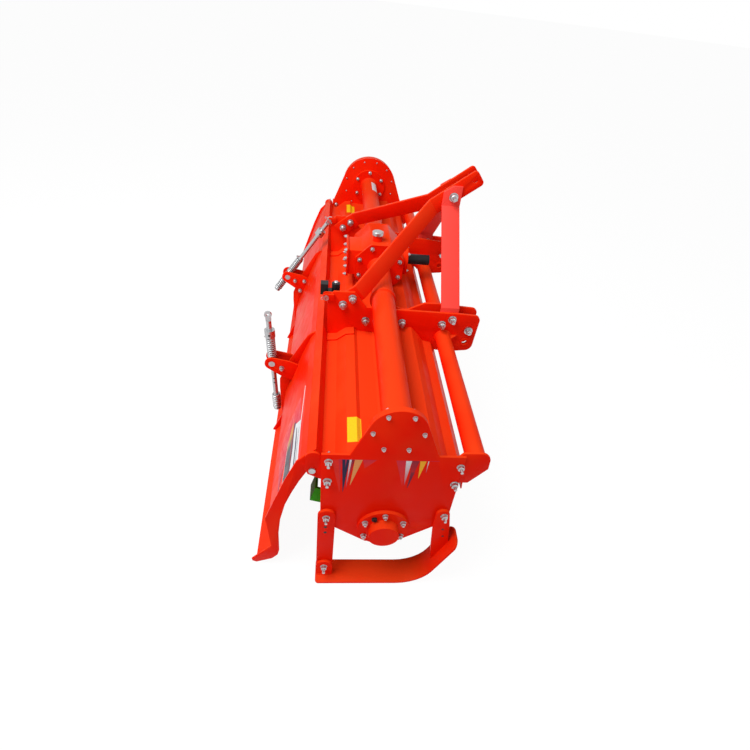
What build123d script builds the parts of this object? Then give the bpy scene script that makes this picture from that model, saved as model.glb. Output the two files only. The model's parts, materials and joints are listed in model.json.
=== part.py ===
from build123d import *
from math import atan2, cos, degrees, hypot, pi, radians, sin, sqrt
import os

# Tractor-mounted rotavator (rotary tiller), millimetres.
# +X is the bearing end (right-hand side looking forward), +Y is forward to the
# tractor, +Z is up. Profiles are written as (y, z) from the rotor axis; save()
# lifts everything so that the skids stand on z = 0 below the middle of the part.

# ---------------------------------------------------------------- main sizes
HALF_WIDTH = 1000.0          # rotor axis centre to the outer face of an end plate
ROTOR_HEIGHT = 278.0         # rotor axis above the ground
ORIGIN_SHIFT_Y = 57.5        # middle of the part's length to the rotor axis
TUBE_Z = 431.0               # cross tube axis above the rotor axis
TUBE_R = 44.45               # cross tube, 88.9 mm pipe
TUBE_WALL = 6.0
TUBE_FLANGE_RIGHT_R, TUBE_FLANGE_LEFT_R = 82.0, 90.0   # bolted to the end plates
PIPE_Y, PIPE_Z = 244.0, 314.0  # front pipe axis
PIPE_R = 30.15               # front pipe, 60.3 mm
PIPE_WALL = 5.0
RUNNING_FIT = 0.05           # radial clearance of a turning shaft
WELD_GAP = 0.05              # between a piece and the one it is welded to
SEAT_GAP = 0.3               # gap under a curved seat on another body
SIDE_CLEARANCE = 6.0         # board web to hood cheek

# ---------------------------------------------------------------- end plates
PLATE_T = 8.0
PLATE_Y = 207.0              # half length of an end plate
SHOULDER_Z = 340.0
HUMP_R_RIGHT = 83.0
HUMP_R_LEFT = 153.0
HUMP_FOOT_RIGHT = 127.0      # half length of the hump where it leaves the shoulder
HUMP_FOOT_LEFT = 200.0
PLATE_LOWER = [(207, 80), (203, 52), (190, 20), (167, -2), (73, -74), (52, -90), (-52, -90),
               (-158, -10), (-204, 28)]
SHAFT_HOLE_R = 46.0

# ---------------------------------------------------------------- hood
CHEEK_T = 8.0
HOOD_T = 4.0
HOOD_PROFILE = [(-248, 321), (-222, 345), (-205, 301), (-168, 305), (-135, 332), (-105, 336),
                (-93, 326), (-35, 321), (79, 350), (113, 353), (136, 332), (165, 296),
                (198, 288), (220, 255), (228, 180)]
LUG = [(-251.5, 315), (-251.5, 262), (-245, 245), (-209, 224), (-200, 224), (-200, 300), (-207.5, 315)]
LUG_R = 22.0                 # round top of the hinge lug
EAR = [(165, 300), (200, 347), (252, 348), (284, 316), (286, 283), (237, 218), (205, 217)]
EAR_CORNER = (252, 316, 32)  # round upper front corner: y, z, radius
CHEEK_FOOT_Y, CHEEK_FOOT_Z = 205.0, 195.0

# ---------------------------------------------------------------- rotor
ROTOR_TUBE_R = 44.45
ROTOR_TUBE_WALL = 8.0
HOUSING_IN = 6.0             # bearing housing inside the end plate
ROTOR_END_GAP = 7.0          # end of the rotor tube to the bearing housing
STUB_R = 25.0
STUB_IN = 20.0               # end cap of the rotor tube
STUB_OUT = 35.0              # stub shaft beyond the tube's end
STUB_END_GAP = 10.0          # end of the stub shaft to the bottom of its bore
SWING_R = 245.0              # tip circle of the tines
GANGS = 8
END_GANG_INSET = 62.0        # end gang from the outer face of the end plate
GANG_T = 12.0
GANG_R = 95.0
TINES = 6
TINE_T = 8.0
TINE_W = 66.0                # tine width along its path
TINE_REAR = (-30, 150)
TINE_FRONT = [(-26, 62), (26, 62), (30, 130)]
TIP_LEAD = 8.0               # tip ahead of the shank
WING_X = 62.0                # reach of a tine's wing
GANG_TWIST = 22.5            # turn from one gang to the next, degrees
END_GANG_TURN = 75.0         # the two tines of an end gang, degrees

# ---------------------------------------------------------------- hub, gear case
HUB_FLANGE_R = 84.0
HUB_FLANGE_T = 12.0
HUB_CAP_R = 49.0
HUB_CAP_OUT = 43.0           # cap beyond the end plate
CASE_DEPTH = 44.0
CASE_COVER_T = 6.0
CASE_R_TOP = 148.0
CASE_R_FOOT = 105.0

# ---------------------------------------------------------------- gearbox
BOX_HALF = 102.0             # cross tube axis to each side of the octagonal body
BOX_CORNER_R = 12.0
BOX_X_LOW, BOX_X_HIGH = -175.0, 33.0
BOX_FLANGE_T = 12.0          # octagonal flanges of the cross tubes
HOOD_ROOM = 3.0              # gearbox and its flanges above the hood
REAR_BOX = [(-130, -60), (-100, 33), (392, 500)]   # y range, x range, z range
REAR_COVER_T = 8.0
REAR_COVER_LIP = 7.0
PTO_X = -65.0                # input shaft offset
PTO_NOSE_R = 62.0
PTO_NOSE_Y = 126.0
PTO_FLANGE_R, PTO_FLANGE_T = 69.0, 12.0
GUARD_R = 22.0
GUARD_WALL = 2.5
GUARD_Y = 228.0
PTO_R = 17.4
PTO_BORE = 44.0              # depth of the input bore
PTO_SHAFT_Y = (86.0, 222.0)
CAP_X, CAP_Y = -6.0, -14.0
CAP_R, CAP_H = 23.0, 12.0
CAP_BOSS_R, CAP_BOSS_TOP = 20.0, 558.0

# ---------------------------------------------------------------- hitch and mast
BRACKET_X = 361.0            # outer face of an outer bracket plate
BRACKET_T = 10.0
INNER_PLATE_X = 305.0        # outer face of an inner hitch plate
RING_R = 50.0                # inner plate's ring around the cross tube
BRACKET_REAR = [(-205, 301), (-209, 440), (-202, 468), (-187, 489), (-111, 490), (-91, 464), (-64, 430)]
BRACKET_FRONT = [(60, 426), (307, 421), (352, 418), (374, 396), (369, 286), (339, 256),
                 (306, 252), (225, 252)]
HITCH_CORNERS = [(352, 396, 22), (339, 286, 30)]   # round front corners: y, z, radius
INNER_REAR = [(225, 270), (170, 330), (120, 362), (60, 386), (28, 392), (42, 409), (84, 396),
              (104, 397), (163, 428), (220, 428)]
HITCH_PIN_Y, HITCH_PIN_Z, HITCH_PIN_R = 337.0, 354.0, 11.0
HITCH_PIN_OUT = 14.0         # pin beyond its two plates
HITCH_HEAD_R, HITCH_HEAD_T = 16.0, 9.0
LOW_HOLE_Y, LOW_HOLE_Z, LOW_HOLE_R = 334.0, 296.0, 11.2
TOP_LINK_Y, TOP_LINK_Z, TOP_LINK_R = 332.0, 816.0, 9.75
BAR_FOOT_Y, BAR_FOOT_Z = -135.0, 452.0
BAR_T = 12.0
BAR_W = 62.0
BAR_FOOT_L = 50.0            # straight foot each side of the bolt
BAR_HEAD_L = 185.0           # straight head below the top-link hole
BAR_ABOVE = 24.0             # bar above the top-link hole
BAR_CORNER_R = 14.0
MAST_GAP = 50.0              # between the two top-link plates
STRAP_T = 10.0
STRAP_W = 70.0
STRAP_Y = 253.0
STRAP_FOOT_Z, STRAP_BEND_Z = 352.0, 436.0
STRAP_TOP_BEND_Z, STRAP_HEAD_Z = 712.0, 792.0
STRAP_CUT = [(217, 767), (217, 794), (256, 794)]   # cut off its upper rear corner
FOOT_W = 42.0                # folded foot of a bracket on the hood
FOOT_T = 6.0
BRACKET_HOOD = slice(3, 14)  # hood bends that a bracket plate stands on
FOOT_HOOD = slice(2, 6)      # hood bends that its folded foot lies on

# ---------------------------------------------------------------- skids
SKID_T = 8.0
SKID_INSIDE, SKID_OUTSIDE = 37.0, 50.0   # from the outer face of the end plate
SKID_REAR_Y, SKID_FLAT_Y = -214.0, 69.0
SKID_ARC_R, SKID_ARC_DEG = 130.0, 68.0
SKID_ARC_STEPS = 6
SKID_RISE = 171.0            # straight length past the arc
SKID_FRONT_CORNER, SKID_REAR_CORNER = 30.0, 12.0
SKID_EAR_H = 53.0            # pin of the rear ear above the skid
CUT_ROOM = 60.0              # how far a cutting shape goes past what it cuts
REAR_STRAP = [-212.0, -156.0, 90.0, -238.0]   # y range, top, foot
FRONT_LEG = [(163, 75), (163, 11), (175, -105), (188, -200), (250, -200), (222, -23), (219, 9), (207, 75)]
FRONT_LEG_TOP = (185, 75, 22)   # round top: y, z, radius
LEG_T = 10.0

# ---------------------------------------------------------------- trailing board
HINGE_Y, HINGE_Z = -232.0, 262.0
HINGE_PIN_R = 8.0
WEB_T = 6.0
WEB_OUTER = [(-251, 311), (-278, 282), (-314, 195), (-380, 2), (-367, -162), (-438, -242)]
WEB_INNER = [(-436, -255), (-422, -262), (-367, -239), (-347, -215), (-341, -187), (-340, -85),
             (-332, -4), (-315, 76), (-294, 136), (-271, 192), (-248, 239), (-212, 250), (-225, 284)]
BOARD_T = 4.0
BOARD_OUTER = [(-249, 309), (-268, 280), (-304, 192), (-370, 1), (-357, -160), (-421, -233)]
RIB_X = 356.0
RIB_T = 8.0
RIB_OUTER = [(-262, 304), (-281, 288), (-328, 205), (-360, 149), (-392, 66), (-393, 22),
             (-386, -132), (-431, -230)]
CLEVIS_GAP = 44.0            # between the two plates that carry a trunnion
CLEVIS_T = 6.0
CLEVIS_END_R = 28.0
CLEVIS_TOP = [(-410, 191), (-349, 178)]
CLEVIS_FOOT = [(-384, 106), (-431, 139)]
CLEVIS_SEAT_Z = [162.0, 84.0]

# ---------------------------------------------------------------- spring struts
TRUNNION_Y, TRUNNION_Z = -418.0, 164.0
TRUNNION_R = 16.0
TRUNNION_PIN_R = 8.0
TRUNNION_END_GAP = 0.3
TRUNNION_PIN_OUT = 2.0       # pins beyond the clevis plates
ROD_SLIDE_GAP = 1.2          # rod to the trunnion's bore, where the linkage is opened
HOOD_PIN_Y, HOOD_PIN_Z = -214.0, 467.0
HOOD_PIN_R = 6.0
HOOD_PIN_IN = 8.0            # pin beyond the inner ear
PIN_HEAD_R, PIN_HEAD_T = 10.0, 5.0
EAR_R = 13.0
EAR_T = 6.0
EAR_REACH = 29.0             # ears overlap the bracket plate
EYE_R = 14.0
EYE_SIDE_GAP = 0.3
EYE_ROOM = 6.0               # round notch in the bracket about the eye
ROOT = 2.0                   # how far one round part runs into the next
TONGUE_L = 26.0              # flat tongue below the eye
STRUT_L = 470.0              # eye to the lower end of the rod
ROD_R = 10.0
COLLAR_FROM_EYE = 66.0
COLLAR_R, COLLAR_H = 20.0, 32.0
SPRING_R = 18.0
SPRING_L = 95.0
SPRING_WALL = 5.0
LOW_SPRING_PLAY = 5.0        # trunnion to the lower spring
LOW_NUT_R, LOW_NUT_H = 15.0, 6.0
STOP_R, STOP_H = 16.0, 5.0
LOOSE_PLAY = 1.0             # collar to the upper spring of the unhooked right strut
LOOSE_LEAN = 2.4             # its lean to the rear, degrees

# ---------------------------------------------------------------- hose holder
HOLDER_X = (300.0, 331.0)
HOLDER_Z = (458.0, 500.0)
HOLDER_BLOCK_Y = (-236.0, -208.0)
HOLDER_POST_Y, HOLDER_POST_R = -180.0, 15.0
HOLDER_ARM_Y = (-188.0, -168.0)
HOLDER_ARM_T = 12.0


# ================================================================ helpers
def side_plane(x):
    """A plane whose sketch axes are y and z and whose normal is +X."""
    return Plane(origin=(x, 0, 0), x_dir=(0, 1, 0), z_dir=(1, 0, 0))


def plate(points, x_low, thickness):
    """A flat plate across X from its (y, z) outline."""
    face = make_face(Polyline(*points, close=True))
    return side_plane(x_low) * extrude(face, thickness)


def disc(y, z, radius, x_low, length):
    """A round bar or disc along X."""
    return Pos(x_low, y, z) * Rot(0, 90, 0) * Cylinder(
        radius, length, align=(Align.CENTER, Align.CENTER, Align.MIN))


def ring(y, z, radius, bore, x_low, length):
    return disc(y, z, radius, x_low, length) - disc(y, z, bore, x_low, length)


def along_y(x, z, radius, y_low, length):
    """A round bar along Y."""
    return Pos(x, y_low, z) * Rot(-90, 0, 0) * Cylinder(
        radius, length, align=(Align.CENTER, Align.CENTER, Align.MIN))


def box(x_range, y_range, z_range):
    size = [high - low for low, high in (x_range, y_range, z_range)]
    middle = [(high + low) / 2 for low, high in (x_range, y_range, z_range)]
    return Pos(*middle) * Box(*size)


def offset_line(points, distance):
    """The polyline moved sideways by a distance, with mitred corners."""
    moved = []
    last = len(points) - 1
    for i, (y, z) in enumerate(points):
        legs = []
        if i > 0:
            legs.append((y - points[i - 1][0], z - points[i - 1][1]))
        if i < last:
            legs.append((points[i + 1][0] - y, points[i + 1][1] - z))
        normals = [(-b / hypot(a, b), a / hypot(a, b)) for a, b in legs]
        n_y = sum(n[0] for n in normals)
        n_z = sum(n[1] for n in normals)
        stretch = len(normals) / (n_y * n_y + n_z * n_z)
        moved.append((y + distance * n_y * stretch, z + distance * n_z * stretch))
    return moved


def bent_sheet(points, thickness, x_low, length):
    """A folded sheet along X; the thickness goes to the left of the outline."""
    return plate(points + offset_line(points, thickness)[::-1], x_low, length)


def tangent_foot(radius, centre_z, foot_y, foot_z):
    """Where the line from a foot touches a circle about (0, centre_z), outer side."""
    reach = hypot(foot_y, centre_z - foot_z)
    angle = atan2(centre_z - foot_z, -foot_y)
    turn = pi / 2 - atan2(radius, sqrt(reach * reach - radius * radius))
    touch = atan2(foot_z - centre_z, foot_y) + turn
    return radius * cos(touch), centre_z + radius * sin(touch)


def save(name, shape):
    lifted = Pos(0, ORIGIN_SHIFT_Y, ROTOR_HEIGHT) * shape
    export_step(lifted, f"parts/{name}.step")


def mirrored(shape):
    return mirror(shape, about=Plane.YZ)


SIDES = {"right": 1, "left": -1}


def on_side(side, shape):
    """A shape drawn for the +X side, or its mirror image for the -X side."""
    return shape if side == "right" else mirrored(shape)


# ================================================================ rotor housing
def end_plate(hump_r, hump_foot):
    touch_y, touch_z = tangent_foot(hump_r, TUBE_Z, hump_foot, SHOULDER_Z)
    outline = [(PLATE_Y, SHOULDER_Z), (hump_foot, SHOULDER_Z), (touch_y, touch_z),
               (-touch_y, touch_z), (-hump_foot, SHOULDER_Z), (-PLATE_Y, SHOULDER_Z)]
    body = plate(outline + PLATE_LOWER[::-1], HALF_WIDTH - PLATE_T, PLATE_T)
    body += disc(0, TUBE_Z, hump_r, HALF_WIDTH - PLATE_T, PLATE_T)
    return body - disc(0, 0, SHAFT_HOLE_R, HALF_WIDTH - PLATE_T, PLATE_T)


def hood_cheek():
    x = HALF_WIDTH - PLATE_T - CHEEK_T
    panel = HOOD_PROFILE[2:-1] + [(CHEEK_FOOT_Y, CHEEK_FOOT_Z), (-CHEEK_FOOT_Y, CHEEK_FOOT_Z)]
    body = plate(panel, x, CHEEK_T)
    body += plate(EAR, x, CHEEK_T)
    body += disc(*EAR_CORNER, x, CHEEK_T)
    body += plate(LUG, x, CHEEK_T)
    body += disc(LUG[0][0] + LUG_R, LUG[0][1], LUG_R, x, CHEEK_T)
    return body - disc(HINGE_Y, HINGE_Z, HINGE_PIN_R + RUNNING_FIT, x, CHEEK_T)


def hood_shell():
    half = HALF_WIDTH - PLATE_T - CHEEK_T
    return bent_sheet(HOOD_PROFILE[::-1], HOOD_T, -half, 2 * half)


def octagon(x_low, length):
    """Octagonal block about the cross tube axis, cut away above the hood."""
    reach = BOX_HALF / cos(pi / 8)
    angles = [pi / 8 + i * pi / 4 for i in range(8)]
    corners = [(reach * cos(a), TUBE_Z + reach * sin(a)) for a in angles]
    block = plate(corners, x_low, length)
    block = fillet(block.edges().filter_by(Axis.X), BOX_CORNER_R)
    hood = [(y, z + HOOD_ROOM) for y, z in HOOD_PROFILE[BRACKET_HOOD]]
    return block - plate(hood, x_low, length)


def cross_tube(x_low, x_high, end_flange_r):
    """Cross tube from its gearbox flange out to its end plate flange."""
    length = x_high - x_low
    body = disc(0, TUBE_Z, TUBE_R, x_low, length)
    body += octagon(x_low, BOX_FLANGE_T)
    body += disc(0, TUBE_Z, end_flange_r, x_high - BOX_FLANGE_T, BOX_FLANGE_T)
    return body - disc(0, TUBE_Z, TUBE_R - TUBE_WALL, x_low, length)


def front_pipe():
    half = HALF_WIDTH - PLATE_T - CHEEK_T
    return ring(PIPE_Y, PIPE_Z, PIPE_R, PIPE_R - PIPE_WALL, -half, 2 * half)


# ================================================================ hub and gear case
def stub_bore():
    """Bore for a stub shaft of the rotor, at the +X end."""
    depth = STUB_OUT - ROTOR_END_GAP + STUB_END_GAP
    return disc(0, 0, STUB_R + RUNNING_FIT, HALF_WIDTH - PLATE_T - HOUSING_IN, depth)


def bearing_hub():
    body = disc(0, 0, HUB_FLANGE_R, HALF_WIDTH, HUB_FLANGE_T)
    body += disc(0, 0, HUB_CAP_R, HALF_WIDTH, HUB_CAP_OUT)
    body += disc(0, 0, SHAFT_HOLE_R, HALF_WIDTH - PLATE_T - HOUSING_IN, PLATE_T + HOUSING_IN)
    return body - stub_bore()


def case_outline():
    """Straight sides of the gear case, which touch its two end circles."""
    lean = (CASE_R_TOP - CASE_R_FOOT) / TUBE_Z
    rise = sqrt(1 - lean * lean)
    top = [(CASE_R_TOP * rise, TUBE_Z - CASE_R_TOP * lean), (-CASE_R_TOP * rise, TUBE_Z - CASE_R_TOP * lean)]
    return top + [(-CASE_R_FOOT * rise, -CASE_R_FOOT * lean), (CASE_R_FOOT * rise, -CASE_R_FOOT * lean)]


def case_block(x_low, depth):
    body = plate(case_outline(), x_low, depth)
    body += disc(0, TUBE_Z, CASE_R_TOP, x_low, depth)
    return body + disc(0, 0, CASE_R_FOOT, x_low, depth)


def gear_case():
    x = -HALF_WIDTH - CASE_DEPTH
    body = case_block(x, CASE_DEPTH)
    body += disc(0, 0, SHAFT_HOLE_R, -HALF_WIDTH, PLATE_T + HOUSING_IN)
    return body - mirrored(stub_bore())


def gear_case_cover():
    return case_block(-HALF_WIDTH - CASE_DEPTH - CASE_COVER_T, CASE_COVER_T)


# ================================================================ gearbox
def gearbox_housing():
    y_range, x_range, z_range = REAR_BOX
    body = octagon(BOX_X_LOW, BOX_X_HIGH - BOX_X_LOW)
    body += box(x_range, y_range, z_range)
    body += along_y(PTO_X, TUBE_Z, PTO_NOSE_R, 0, PTO_NOSE_Y)
    body += along_y(PTO_X, TUBE_Z, PTO_FLANGE_R, PTO_NOSE_Y - PTO_FLANGE_T, PTO_FLANGE_T)
    boss = Pos(CAP_X, CAP_Y, TUBE_Z) * Cylinder(
        CAP_BOSS_R, CAP_BOSS_TOP - TUBE_Z, align=(Align.CENTER, Align.CENTER, Align.MIN))
    bore = along_y(PTO_X, TUBE_Z, PTO_R + RUNNING_FIT, PTO_NOSE_Y - PTO_BORE, PTO_BORE)
    return body + boss - bore


def gearbox_rear_cover():
    y_range, x_range, z_range = REAR_BOX
    return box((x_range[0] - REAR_COVER_LIP, x_range[1] + REAR_COVER_LIP),
               (y_range[0] - REAR_COVER_T, y_range[0]),
               (z_range[0] - REAR_COVER_LIP, z_range[1] + REAR_COVER_LIP))


def pto_guard():
    tube = along_y(PTO_X, TUBE_Z, GUARD_R, PTO_NOSE_Y, GUARD_Y - PTO_NOSE_Y)
    return tube - along_y(PTO_X, TUBE_Z, GUARD_R - GUARD_WALL, PTO_NOSE_Y, GUARD_Y - PTO_NOSE_Y)


def pto_shaft():
    return along_y(PTO_X, TUBE_Z, PTO_R, PTO_SHAFT_Y[0], PTO_SHAFT_Y[1] - PTO_SHAFT_Y[0])


def filler_cap():
    return Pos(CAP_X, CAP_Y, CAP_BOSS_TOP) * Cylinder(
        CAP_R, CAP_H, align=(Align.CENTER, Align.CENTER, Align.MIN))


# ================================================================ hitch and mast
def hitch_corners(x):
    """Discs that round the front corners of a hitch plate."""
    return [disc(*corner, x, BRACKET_T) for corner in HITCH_CORNERS]


def bracket():
    x = BRACKET_X - BRACKET_T
    body = plate(BRACKET_REAR + BRACKET_FRONT + HOOD_PROFILE[BRACKET_HOOD][::-1], x, BRACKET_T)
    body += hitch_corners(x)
    body -= disc(0, TUBE_Z, TUBE_R, x, BRACKET_T)
    body -= disc(PIPE_Y, PIPE_Z, PIPE_R, x, BRACKET_T)
    body -= disc(HITCH_PIN_Y, HITCH_PIN_Z, HITCH_PIN_R, x, BRACKET_T)
    body -= disc(LOW_HOLE_Y, LOW_HOLE_Z, LOW_HOLE_R, x, BRACKET_T)
    body -= disc(HOOD_PIN_Y, HOOD_PIN_Z, EYE_R + EYE_ROOM, x, BRACKET_T)
    return body + strut_ear(x - EAR_T) + strut_ear(x + BRACKET_T)


def strut_ear(x):
    """One of the two ears that hold a strut's top pin."""
    low, high = HOOD_PIN_Z - EAR_R, HOOD_PIN_Z + EAR_R
    body = box((x, x + EAR_T), (HOOD_PIN_Y, HOOD_PIN_Y + EAR_REACH), (low, high))
    body += disc(HOOD_PIN_Y, HOOD_PIN_Z, EAR_R, x, EAR_T)
    return body - disc(HOOD_PIN_Y, HOOD_PIN_Z, HOOD_PIN_R, x, EAR_T)


def strut_pin():
    """Headed pin through the two ears."""
    x = BRACKET_X - BRACKET_T - EAR_T - HOOD_PIN_IN
    body = disc(HOOD_PIN_Y, HOOD_PIN_Z, HOOD_PIN_R, x, BRACKET_X + EAR_T - x)
    return body + disc(HOOD_PIN_Y, HOOD_PIN_Z, PIN_HEAD_R, BRACKET_X + EAR_T, PIN_HEAD_T)


def hose_holder():
    """Plastic block and post on an arm from the right mast bar."""
    low, high = HOLDER_Z
    bar_x = BRACKET_X - BRACKET_T - BAR_T
    body = box(HOLDER_X, HOLDER_BLOCK_Y, HOLDER_Z)
    body += box(HOLDER_X, (HOLDER_BLOCK_Y[0], HOLDER_POST_Y), (low, low + HOLDER_ARM_T))
    body += box((HOLDER_X[0], bar_x), HOLDER_ARM_Y, (low - HOLDER_ARM_T, low))
    return body + Pos((HOLDER_X[0] + HOLDER_X[1]) / 2, HOLDER_POST_Y, low) * Cylinder(
        HOLDER_POST_R, high - low, align=(Align.CENTER, Align.CENTER, Align.MIN))


def bracket_foot(side):
    """Folded foot on the hood's rear slope, on the +X side of its plate."""
    x = BRACKET_X if side == "right" else BRACKET_T - BRACKET_X
    return bent_sheet(HOOD_PROFILE[FOOT_HOOD], FOOT_T, x, FOOT_W)


def hitch_inner_plate():
    x = INNER_PLATE_X - BRACKET_T
    body = plate(INNER_REAR + BRACKET_FRONT[1:-1], x, BRACKET_T)
    body += hitch_corners(x)
    body += disc(0, TUBE_Z, RING_R, x, BRACKET_T)
    body -= disc(0, TUBE_Z, TUBE_R, x, BRACKET_T)
    body -= disc(PIPE_Y, PIPE_Z, PIPE_R, x, BRACKET_T)
    body -= disc(HITCH_PIN_Y, HITCH_PIN_Z, HITCH_PIN_R, x, BRACKET_T)
    return body - disc(LOW_HOLE_Y, LOW_HOLE_Z, LOW_HOLE_R, x, BRACKET_T)


def hitch_pin():
    x = INNER_PLATE_X - BRACKET_T - HITCH_PIN_OUT
    body = disc(HITCH_PIN_Y, HITCH_PIN_Z, HITCH_PIN_R, x, BRACKET_X + HITCH_PIN_OUT - x)
    return body + disc(HITCH_PIN_Y, HITCH_PIN_Z, HITCH_HEAD_R, BRACKET_X, HITCH_HEAD_T)


def mast_bar():
    """Rear flat bar: bolted inside its bracket, bent in to the top-link plate."""
    rise, run = TOP_LINK_Z - BAR_FOOT_Z, TOP_LINK_Y - BAR_FOOT_Y
    length = hypot(rise, run)
    slope = degrees(atan2(rise, run))
    foot_x = BRACKET_X - BRACKET_T - BAR_T
    head_x = MAST_GAP / 2
    path = [(-BAR_FOOT_L, foot_x), (BAR_FOOT_L, foot_x),
            (length - BAR_HEAD_L, head_x), (length + BAR_ABOVE, head_x)]
    section = make_face(Polyline(*path, *offset_line(path, BAR_T)[::-1], close=True))
    along = Plane(origin=(0, BAR_FOOT_Y, BAR_FOOT_Z), x_dir=(0, cos(radians(slope)), sin(radians(slope))),
                  z_dir=(0, sin(radians(slope)), -cos(radians(slope))))
    body = along * extrude(section, BAR_W / 2, both=True)
    body = fillet(body.edges().filter_by(Axis.X).sort_by(Axis.Y)[-2:], BAR_CORNER_R)
    return body - disc(TOP_LINK_Y, TOP_LINK_Z, TOP_LINK_R, 0, BRACKET_X)


def mast_strap():
    """Front flat bar: bolted inside the bracket plate, bent in to the mast head."""
    foot_x = BRACKET_X - BRACKET_T - STRAP_T
    head_x = MAST_GAP / 2 + BAR_T
    path = [(foot_x, STRAP_FOOT_Z), (foot_x, STRAP_BEND_Z),
            (head_x, STRAP_TOP_BEND_Z), (head_x, STRAP_HEAD_Z)]
    section = make_face(Polyline(*path, *offset_line(path, -STRAP_T)[::-1], close=True))
    front = Plane(origin=(0, STRAP_Y + STRAP_W / 2, 0), x_dir=(1, 0, 0), z_dir=(0, -1, 0))
    return front * extrude(section, STRAP_W) - plate(STRAP_CUT, head_x, STRAP_T)


# ================================================================ skids
def skid_path():
    """Centre line points of the skid's underside, rear to front."""
    points = [(SKID_REAR_Y, -ROTOR_HEIGHT), (SKID_FLAT_Y, -ROTOR_HEIGHT)]
    for i in range(1, SKID_ARC_STEPS + 1):
        a = radians(SKID_ARC_DEG * i / SKID_ARC_STEPS)
        points.append((SKID_FLAT_Y + SKID_ARC_R * sin(a), -ROTOR_HEIGHT + SKID_ARC_R * (1 - cos(a))))
    a = radians(SKID_ARC_DEG)
    y, z = points[-1]
    points.append((y + SKID_RISE * cos(a), z + SKID_RISE * sin(a)))
    return points


def skid():
    """Bent shoe with the rear ear that its leg is bolted to."""
    body = bent_sheet(skid_path(), SKID_T, HALF_WIDTH - SKID_INSIDE, SKID_INSIDE + SKID_OUTSIDE)
    corners = body.edges().filter_by(lambda edge: abs(edge.length - SKID_T) < 0.001)
    body = fillet(corners.sort_by(Axis.Y)[-2:], SKID_FRONT_CORNER)
    corners = body.edges().filter_by(lambda edge: abs(edge.length - SKID_T) < 0.001)
    body = fillet(corners.sort_by(Axis.Y)[:2], SKID_REAR_CORNER)
    y_low, y_high = REAR_STRAP[:2]
    floor = -ROTOR_HEIGHT + SKID_T
    ear_r = (y_high - y_low) / 2
    ear_x = HALF_WIDTH + LEG_T
    ear_z = floor + SKID_EAR_H
    body += box((ear_x, ear_x + LEG_T), (y_low, y_high), (floor, ear_z))
    return body + disc((y_low + y_high) / 2, ear_z, ear_r, ear_x, LEG_T)


def rear_leg():
    y_low, y_high, top, foot = REAR_STRAP
    r = (y_high - y_low) / 2
    body = box((HALF_WIDTH, HALF_WIDTH + LEG_T), (y_low, y_high), (foot, top - r))
    return body + disc((y_low + y_high) / 2, top - r, r, HALF_WIDTH, LEG_T)


def front_leg():
    """Front strap, cut off along the skid's upturned end."""
    shoe = offset_line(skid_path(), SKID_T)
    front, top, floor = shoe[-1][0] + CUT_ROOM, shoe[-1][1], -ROTOR_HEIGHT - CUT_ROOM
    below = plate(shoe + [(front, top), (front, floor), (SKID_REAR_Y, floor)], HALF_WIDTH, LEG_T)
    leg = plate(FRONT_LEG, HALF_WIDTH, LEG_T) + disc(*FRONT_LEG_TOP, HALF_WIDTH, LEG_T)
    return leg - below


# ================================================================ rotor
def rotor_tube():
    end = HALF_WIDTH - PLATE_T - HOUSING_IN - ROTOR_END_GAP
    body = ring(0, 0, ROTOR_TUBE_R, ROTOR_TUBE_R - ROTOR_TUBE_WALL, -end, 2 * end)
    cap = disc(0, 0, ROTOR_TUBE_R - ROTOR_TUBE_WALL / 2, end - STUB_IN, STUB_IN)
    cap += disc(0, 0, STUB_R, end - STUB_IN, STUB_IN + STUB_OUT)
    return body + cap + mirrored(cap)


def tine(hand):
    """One L-shaped blade standing up from the axis; hand is the wing's side."""
    front, rear = TIP_LEAD + TINE_W / 2, TIP_LEAD - TINE_W / 2
    tip_z = sqrt(SWING_R ** 2 - front ** 2)
    shank = TINE_FRONT + [(front, tip_z), (rear, tip_z), TINE_REAR]
    x = 0 if hand > 0 else -TINE_T
    x_range = (0, WING_X) if hand > 0 else (-WING_X, 0)
    return plate(shank, x, TINE_T) + box(x_range, (rear, front), (tip_z - TINE_T, tip_z))


def tine_places(index):
    """Turn and hand of each tine of a gang; an end gang has two, winged inwards."""
    if index == 0:
        return [(END_GANG_TURN, 1), (END_GANG_TURN + 180, 1)]
    if index == GANGS - 1:
        return [(END_GANG_TURN, -1), (END_GANG_TURN + 180, -1)]
    return [(360 / TINES * i + GANG_TWIST * index, 1 if i % 2 else -1) for i in range(TINES)]


def gang(x, index):
    flange = ring(0, 0, GANG_R, ROTOR_TUBE_R + WELD_GAP, x - GANG_T / 2, GANG_T)
    for turn, hand in tine_places(index):
        seat = x + hand * GANG_T / 2
        flange += Rot(turn, 0, 0) * Pos(seat, 0, 0) * tine(hand)
    return flange


def rotor_gangs():
    end_x = HALF_WIDTH - END_GANG_INSET
    pitch = 2 * end_x / (GANGS - 1)
    gangs = [gang(-end_x + pitch * i, i) for i in range(GANGS)]
    return Compound(children=gangs)


# ================================================================ trailing board
def board_half_width():
    return HALF_WIDTH - PLATE_T - CHEEK_T - SIDE_CLEARANCE


def board_web():
    x = board_half_width() - WEB_T
    body = plate(WEB_OUTER + WEB_INNER, x, WEB_T)
    return body + disc(HINGE_Y, HINGE_Z, HINGE_PIN_R, board_half_width(), SIDE_CLEARANCE + CHEEK_T)


def board_sheet():
    half = board_half_width() - WEB_T
    return bent_sheet(BOARD_OUTER, BOARD_T, -half, 2 * half)


def board_rib():
    sheet = BOARD_OUTER[::-1]
    return plate(RIB_OUTER + sheet, RIB_X - RIB_T / 2, RIB_T)


def sheet_y(z):
    """Outer surface of the board's flat upper panel at a height."""
    (y0, z0), (y1, z1) = BOARD_OUTER[2], BOARD_OUTER[3]
    return y0 + (y1 - y0) * (z - z0) / (z1 - z0)


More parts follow.
